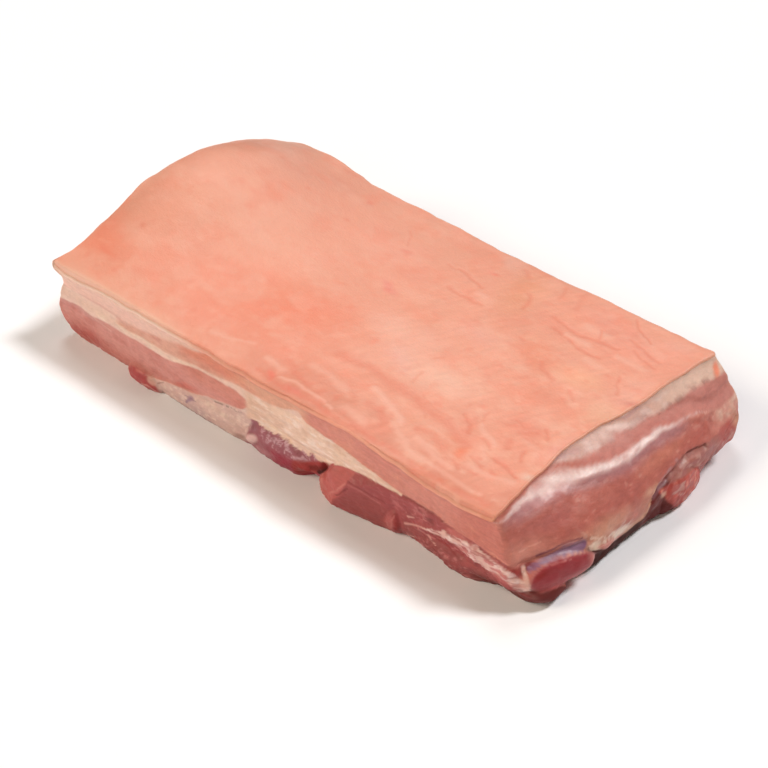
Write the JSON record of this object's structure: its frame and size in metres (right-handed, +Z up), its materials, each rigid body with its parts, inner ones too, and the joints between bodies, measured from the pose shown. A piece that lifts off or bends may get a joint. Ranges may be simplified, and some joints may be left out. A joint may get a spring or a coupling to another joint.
{
  "type": "pork belly slab",
  "caption": "Raw boneless slab of pork belly with the skin on, cut square at the sides, lying skin up with a hump at one end and layers of fat and lean round its walls.",
  "frame": {"origin": "middle of the bounding box in plan, on the table plane under the slab", "axes": "+X along the slab's length, from the humped end to the sloping cut end; +Z up, from the table to the skin"},
  "size_m": [0.3563, 0.1907, 0.0775],
  "materials": {
    "pork": "raw pork: satin pink-orange skin, cream fat and moist pink-red lean; matte_plastic stands in for meat"
  },
  "bodies": {
    "root": {"belly_slab": "pork"}
  },
  "joints": []
}
